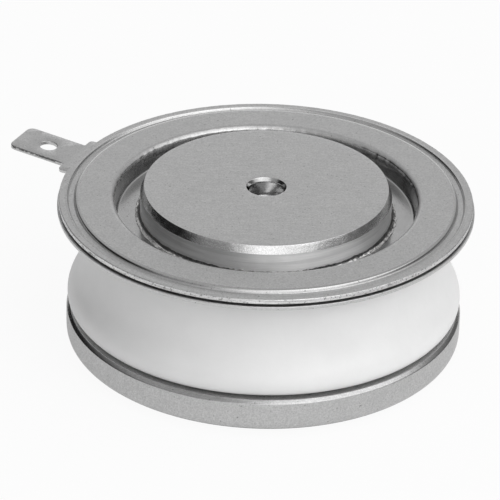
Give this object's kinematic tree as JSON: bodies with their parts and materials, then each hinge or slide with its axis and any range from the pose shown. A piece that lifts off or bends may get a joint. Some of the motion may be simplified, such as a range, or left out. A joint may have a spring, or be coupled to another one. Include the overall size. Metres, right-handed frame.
{
  "type": "disc thyristor",
  "caption": "Disc thyristor in a round ceramic capsule, with a flat contact pole on each face, a thin welded flange with a tab terminal, and a small gate terminal in its side.",
  "frame": {"origin": "centre of the anode contact face, at the mouth of its centring hole", "axes": "+Z along the disc's axis, from the anode contact to the cathode contact; the cathode blade points 154 degrees anticlockwise from +X seen from +Z"},
  "size_m": [0.0467, 0.0419, 0.017],
  "materials": {
    "nickel_plate": "satin, matt nickel plate",
    "braze": "bright, uneven",
    "glazed_alumina": "gloss white glaze",
    "molybdenum": "lapped, matt",
    "silicon": "polished dark grey",
    "silicone_rubber": "cast, soft sheen",
    "fluoropolymer": "turned, matt white",
    "gate_copper": "bare drawn copper",
    "spring_steel": "drawn wire"
  },
  "bodies": {
    "root": {"cathode_contact": "nickel_plate", "cathode_braze_bead": "braze", "cathode_lid": "nickel_plate", "weld_flange": "nickel_plate", "upper_seal_braze": "braze", "ceramic_ring": "glazed_alumina", "lower_seal_braze": "braze", "anode_ring": "nickel_plate", "anode_diaphragm": "nickel_plate", "anode_braze_bead": "braze", "anode_contact": "nickel_plate", "molybdenum_disc": "molybdenum", "silicon_wafer": "silicon", "wafer_edge_rubber": "silicone_rubber", "molybdenum_washer": "molybdenum", "locating_ring": "fluoropolymer", "gate_pin": "gate_copper", "gate_spring": "spring_steel", "gate_bush": "fluoropolymer", "gate_lead": "gate_copper", "gate_lead_sleeve": "fluoropolymer", "gate_tube": "nickel_plate", "gate_tube_braze": "braze", "gate_terminal": "nickel_plate"}
  },
  "joints": []
}
